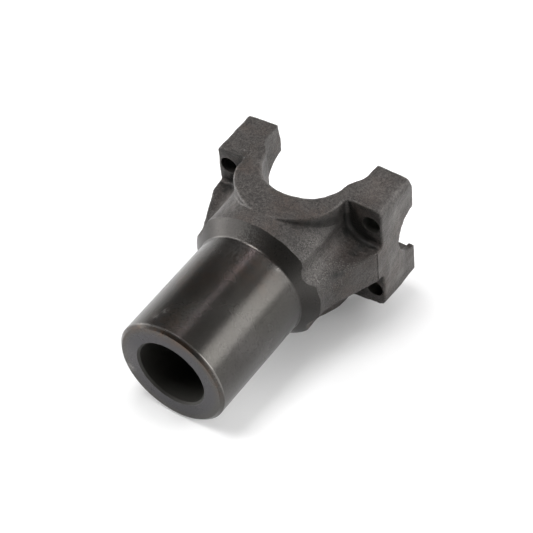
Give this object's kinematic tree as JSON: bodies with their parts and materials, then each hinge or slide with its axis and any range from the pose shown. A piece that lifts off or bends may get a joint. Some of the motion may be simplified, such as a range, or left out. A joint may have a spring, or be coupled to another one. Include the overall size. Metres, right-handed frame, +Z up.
{
  "type": "forged yoke",
  "caption": "Forged end yoke: a bored and splined barrel that widens into a web with paired ears, which carry half-round seats and clamp holes for a joint's bearing caps.",
  "frame": {"origin": "centre of the joint, where the axis of the bearing-cap seats crosses the spin axis", "axes": "+X along the bearing-cap seats from ear to ear, +Y along the spin axis from the barrel's mouth towards the open ends of the ears, +Z up and square to both"},
  "size_m": [0.08, 0.1169, 0.0608],
  "materials": {
    "forged_steel": "grey-brown forging scale, with bright turned barrel and machined seats"
  },
  "bodies": {
    "root": {"yoke": "forged_steel"}
  },
  "joints": []
}
